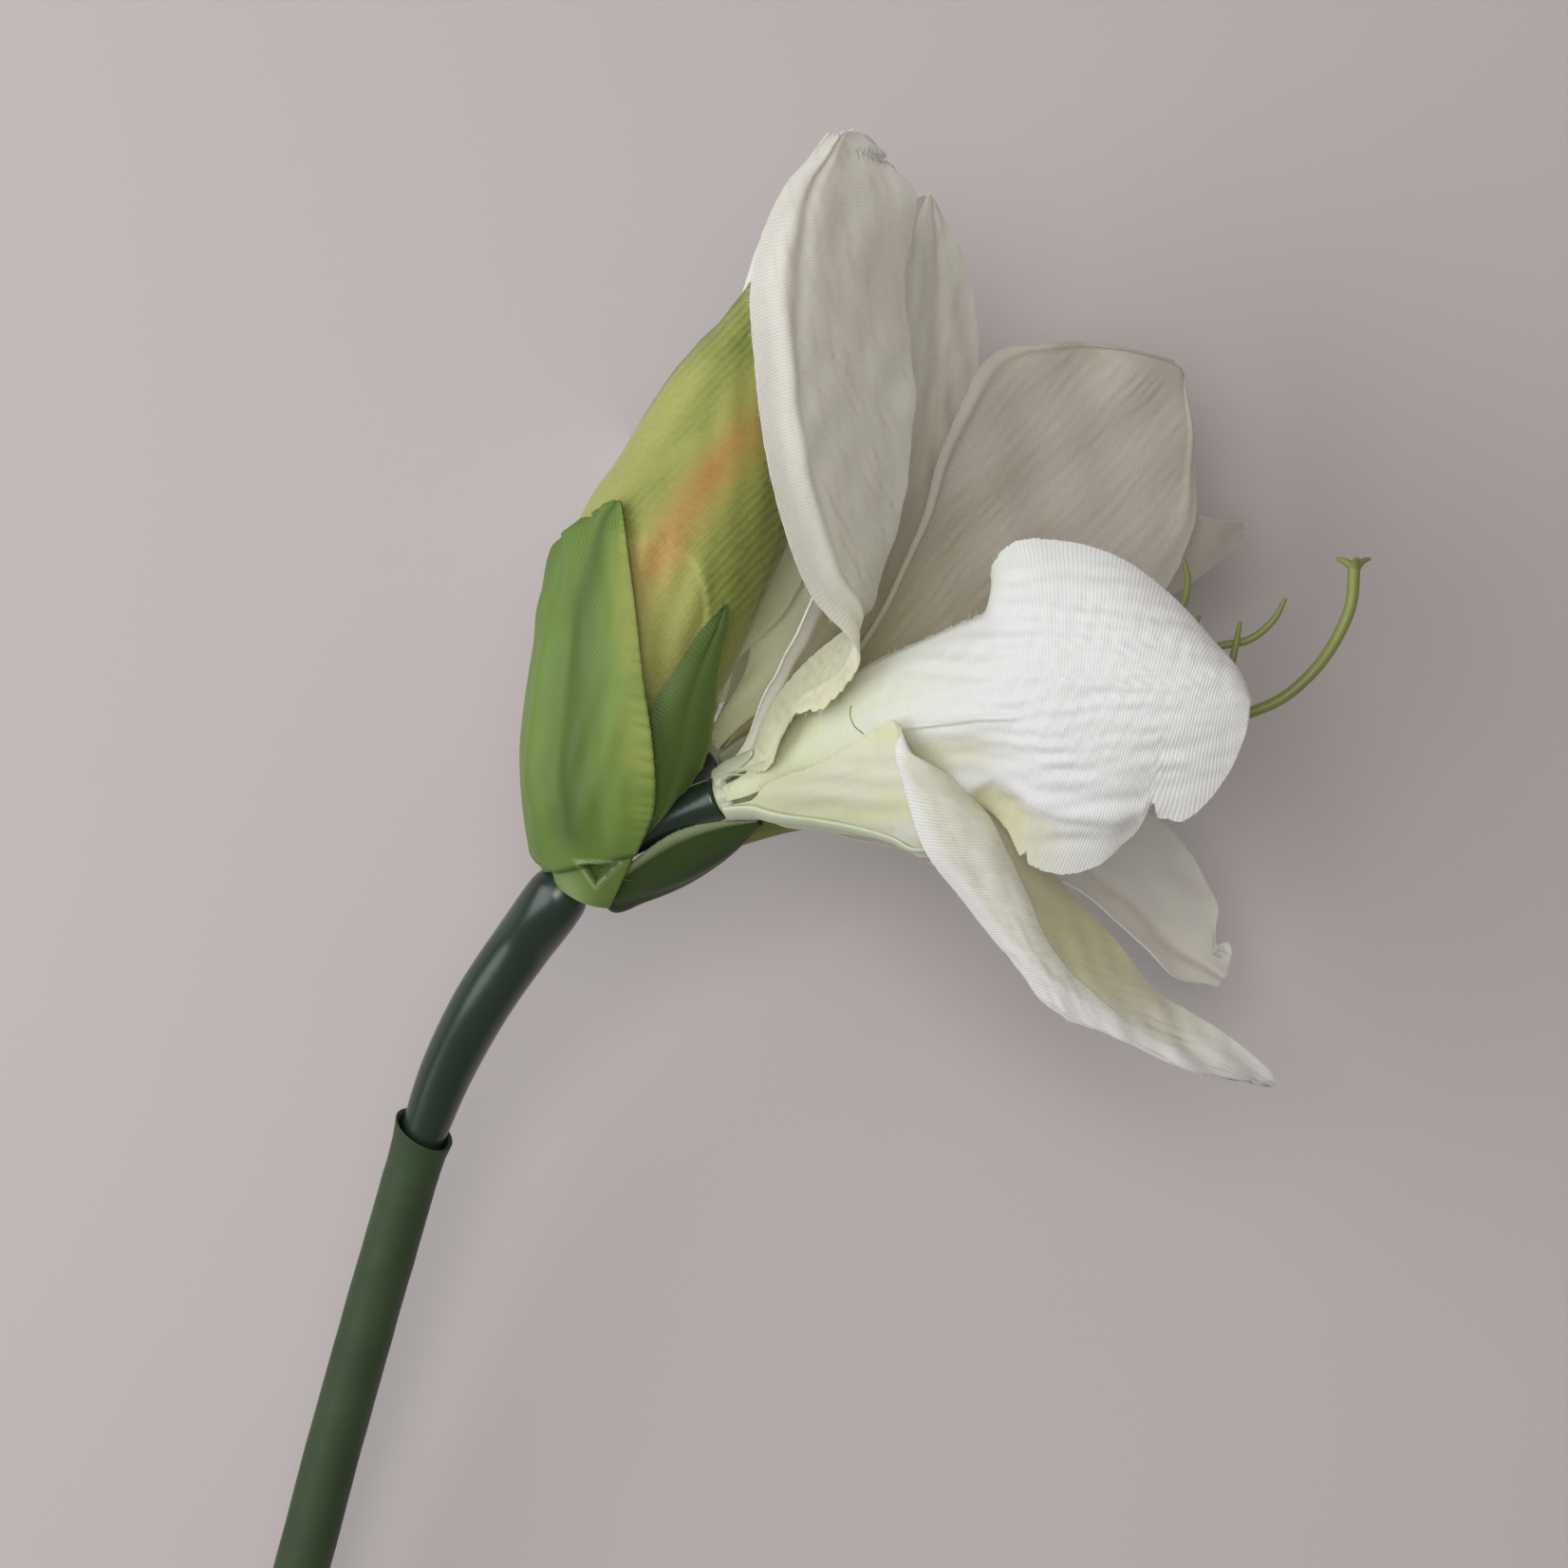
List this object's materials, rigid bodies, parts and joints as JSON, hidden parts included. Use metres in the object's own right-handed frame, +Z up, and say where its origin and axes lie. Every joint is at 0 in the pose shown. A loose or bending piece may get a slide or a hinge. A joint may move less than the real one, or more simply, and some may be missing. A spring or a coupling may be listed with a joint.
{
  "type": "artificial amaryllis stem",
  "caption": "Artificial amaryllis lying on a surface: plastic stem with a socket joint, twill bracts, a closed bud and open white cloth blooms with curling stamens.",
  "frame": {"origin": "on the surface that the flower lies on, under the middle of its bounding box", "axes": "+Z up from the surface, +Y along the flower's length from the stem's cut end to the top of the blooms, +X to the side that the front bloom opens to"},
  "size_m": [0.3097, 0.5691, 0.1975],
  "materials": {
    "stem_green": "matt",
    "stem_dark_green": "gloss",
    "wire_steel": "drawn wire",
    "bract_green": "satin twill",
    "bud_cloth": "printed twill",
    "bud_foam": "soft foam",
    "petal_cloth": "stiffened twill",
    "calyx_white": "translucent",
    "stamen_green": "satin"
  },
  "bodies": {
    "root": {"stem_lower": "stem_green", "stem_wire": "wire_steel", "stem_upper": "stem_dark_green", "bud_core": "bud_foam", "bud_petal_1": "bud_cloth", "bud_petal_2": "bud_cloth", "bud_petal_3": "bud_cloth", "bract_left": "bract_green", "bract_right": "bract_green", "bract_lower": "bract_green", "bract_behind": "bract_green", "front_petal_top": "petal_cloth", "front_petal_back": "petal_cloth", "front_petal_far": "petal_cloth", "front_petal_near": "petal_cloth", "front_petal_low": "petal_cloth", "front_petal_under": "petal_cloth", "front_calyx": "calyx_white", "front_stamens": "stamen_green", "rear_petal_left": "petal_cloth", "rear_petal_top": "petal_cloth", "rear_petal_near": "petal_cloth", "rear_petal_right": "petal_cloth", "rear_petal_low": "petal_cloth", "rear_petal_under": "petal_cloth", "rear_calyx": "calyx_white", "rear_stamens": "stamen_green"}
  },
  "joints": []
}
